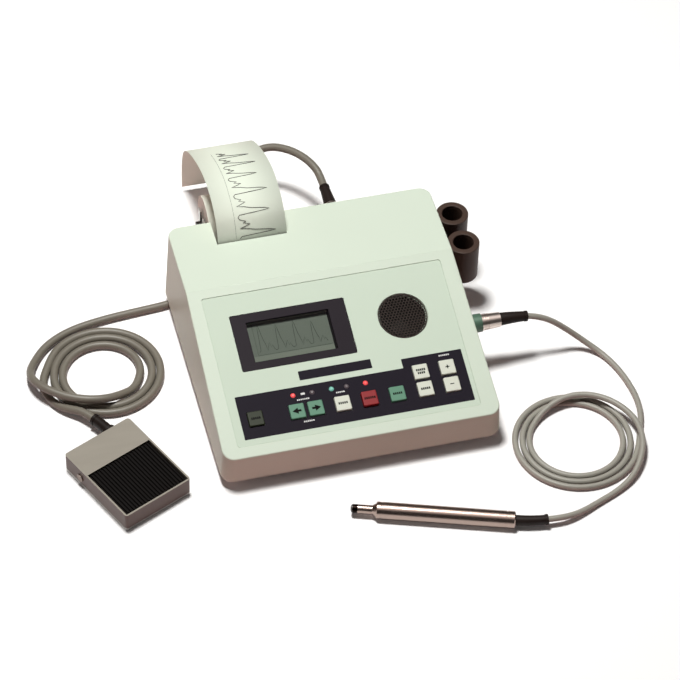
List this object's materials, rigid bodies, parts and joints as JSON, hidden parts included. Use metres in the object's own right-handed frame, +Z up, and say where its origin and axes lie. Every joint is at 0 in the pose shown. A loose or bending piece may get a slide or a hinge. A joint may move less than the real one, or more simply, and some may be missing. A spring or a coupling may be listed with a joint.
{
  "type": "bidirectional doppler",
  "caption": "Desk-top flow-detector console with a wedge case, display, keypad, loudspeaker and strip printer, a corded pencil probe and a corded foot switch.",
  "frame": {"origin": "on the table under the middle of the box around console, probe, foot switch and paper strip", "axes": "+Z up from the table, +Y towards the console's rear wall, +X to the console's right as its user sees it"},
  "size_m": [0.4888, 0.4408, 0.1055],
  "materials": {
    "case_plastic": "smooth moulded pale plastic",
    "overlay_film": "printed polyester film with dark fields",
    "window_lens": "dark tinted lens",
    "display_glass": "grey-green display",
    "black_plastic": "moulded",
    "black_rubber": "matt",
    "holder_plastic": "turned brownish black plastic",
    "key_green": "moulded",
    "key_red": "moulded",
    "key_white": "moulded",
    "key_olive": "moulded",
    "lamp_lens": "translucent lens",
    "circuit_board": "lacquered laminate",
    "plain_steel": "zinc plated",
    "brass_gear": "cut",
    "ceramic_head": "ground",
    "motor_can": "drawn can",
    "paper": "smooth thermal paper",
    "connector_metal": "anodised collar and satin shell",
    "pale_cord": "smooth jacket",
    "grey_cord": "smooth jacket",
    "probe_steel": "satin turned",
    "nose_plastic": "turned",
    "lens_resin": "cast resin",
    "crystal_ceramic": "silvered faces",
    "pedal_metal": "satin folded sheet"
  },
  "bodies": {
    "console": {"case_screws": "plain_steel", "footswitch_base": "plain_steel", "footswitch_box": "pedal_metal", "footswitch_cord_coil": "grey_cord", "footswitch_cord_lead": "grey_cord", "footswitch_cord_tail": "grey_cord", "footswitch_gland": "black_plastic", "footswitch_microswitch": "black_plastic", "footswitch_plug": "connector_metal", "footswitch_plug_boot": "black_rubber", "front_overlay": "overlay_film", "indicator_lamps": "lamp_lens", "key_board": "circuit_board", "lcd_module": "display_glass", "lcd_window": "window_lens", "loudspeaker": "plain_steel", "lower_case": "case_plastic", "main_board": "circuit_board", "mains_inlet": "black_plastic", "panel_sockets": "connector_metal", "paper_strip": "paper", "power_supply": "circuit_board", "printer_frame": "plain_steel", "probe_barrel": "probe_steel", "probe_boot": "black_rubber", "probe_cord_coil": "pale_cord", "probe_cord_lead": "pale_cord", "probe_cord_tail": "pale_cord", "probe_crystals": "crystal_ceramic", "probe_holders": "holder_plastic", "probe_lens": "lens_resin", "probe_nose": "nose_plastic", "probe_plug": "connector_metal", "probe_plug_boot": "black_rubber", "roll_bracket": "plain_steel", "roll_spindle": "black_plastic", "rubber_feet": "black_rubber", "speaker_grille": "black_plastic", "stepper_motor": "motor_can", "thermal_head": "ceramic_head", "treadle_pivot": "plain_steel", "treadle_spring": "plain_steel", "upper_case": "case_plastic"},
    "key_feed": {"key_feed": "key_white"},
    "key_freeze": {"key_freeze": "key_red"},
    "key_left": {"key_left": "key_green"},
    "key_menu": {"key_menu": "key_olive"},
    "key_print": {"key_print": "key_white"},
    "key_probe": {"key_probe": "key_white"},
    "key_right": {"key_right": "key_green"},
    "key_scale": {"key_scale": "key_green"},
    "key_volume_down": {"key_volume_down": "key_white"},
    "key_volume_up": {"key_volume_up": "key_white"},
    "power_rocker": {"power_rocker": "black_plastic"},
    "paper_roll": {"paper_roll": "paper"},
    "platen": {"platen_roller": "black_rubber", "platen_gear": "black_plastic"},
    "motor_gear": {"motor_gear": "brass_gear"},
    "treadle": {"footswitch_treadle": "pedal_metal", "treadle_pad": "black_rubber"}
  },
  "joints": [
    {"name": "key_feed_press", "type": "slide", "parent": "console", "child": "key_feed", "axis": [0, 0.2645, -0.9644], "range_m": [0, 0.0008], "stiffness_N_per_m": 900, "springref_m": -0.0006},
    {"name": "key_freeze_press", "type": "slide", "parent": "console", "child": "key_freeze", "axis": [0, 0.2645, -0.9644], "range_m": [0, 0.0008], "stiffness_N_per_m": 900, "springref_m": -0.0006},
    {"name": "key_left_press", "type": "slide", "parent": "console", "child": "key_left", "axis": [0, 0.2645, -0.9644], "range_m": [0, 0.0008], "stiffness_N_per_m": 900, "springref_m": -0.0006},
    {"name": "key_menu_press", "type": "slide", "parent": "console", "child": "key_menu", "axis": [0, 0.2645, -0.9644], "range_m": [0, 0.0008], "stiffness_N_per_m": 900, "springref_m": -0.0006},
    {"name": "key_print_press", "type": "slide", "parent": "console", "child": "key_print", "axis": [0, 0.2645, -0.9644], "range_m": [0, 0.0008], "stiffness_N_per_m": 900, "springref_m": -0.0006},
    {"name": "key_probe_press", "type": "slide", "parent": "console", "child": "key_probe", "axis": [0, 0.2645, -0.9644], "range_m": [0, 0.0008], "stiffness_N_per_m": 900, "springref_m": -0.0006},
    {"name": "key_right_press", "type": "slide", "parent": "console", "child": "key_right", "axis": [0, 0.2645, -0.9644], "range_m": [0, 0.0008], "stiffness_N_per_m": 900, "springref_m": -0.0006},
    {"name": "key_scale_press", "type": "slide", "parent": "console", "child": "key_scale", "axis": [0, 0.2645, -0.9644], "range_m": [0, 0.0008], "stiffness_N_per_m": 900, "springref_m": -0.0006},
    {"name": "key_volume_down_press", "type": "slide", "parent": "console", "child": "key_volume_down", "axis": [0, 0.2645, -0.9644], "range_m": [0, 0.0008], "stiffness_N_per_m": 900, "springref_m": -0.0006},
    {"name": "key_volume_up_press", "type": "slide", "parent": "console", "child": "key_volume_up", "axis": [0, 0.2645, -0.9644], "range_m": [0, 0.0008], "stiffness_N_per_m": 900, "springref_m": -0.0006},
    {"name": "power_tilt", "type": "hinge", "parent": "console", "child": "power_rocker", "pos_m": [0.124, 0.106, 0.049], "axis": [1, 0, 0], "range_deg": [-18, 0]},
    {"name": "roll_spin", "type": "hinge", "parent": "console", "child": "paper_roll", "pos_m": [0, 0.13, 0.0475], "axis": [1, 0, 0], "continuous": true},
    {"name": "platen_spin", "type": "hinge", "parent": "console", "child": "platen", "pos_m": [0, 0.086, 0.052], "axis": [1, 0, 0], "continuous": true},
    {"name": "motor_spin", "type": "hinge", "parent": "console", "child": "motor_gear", "pos_m": [0, 0.07289, 0.03637], "axis": [1, 0, 0], "continuous": true},
    {"name": "treadle_press", "type": "hinge", "parent": "console", "child": "treadle", "pos_m": [-0.15052, -0.07466, 0.009], "axis": [0.907, 0.421, 0], "range_deg": [0, 4], "stiffness_Nm_per_rad": 3, "springref_deg": -3.44, "deforming": ["treadle_spring"]}
  ],
  "couplings": [
    {"joint": "platen_spin", "follows": "roll_spin", "ratio": 3.5714},
    {"joint": "motor_spin", "follows": "roll_spin", "ratio": -7.1429}
  ]
}
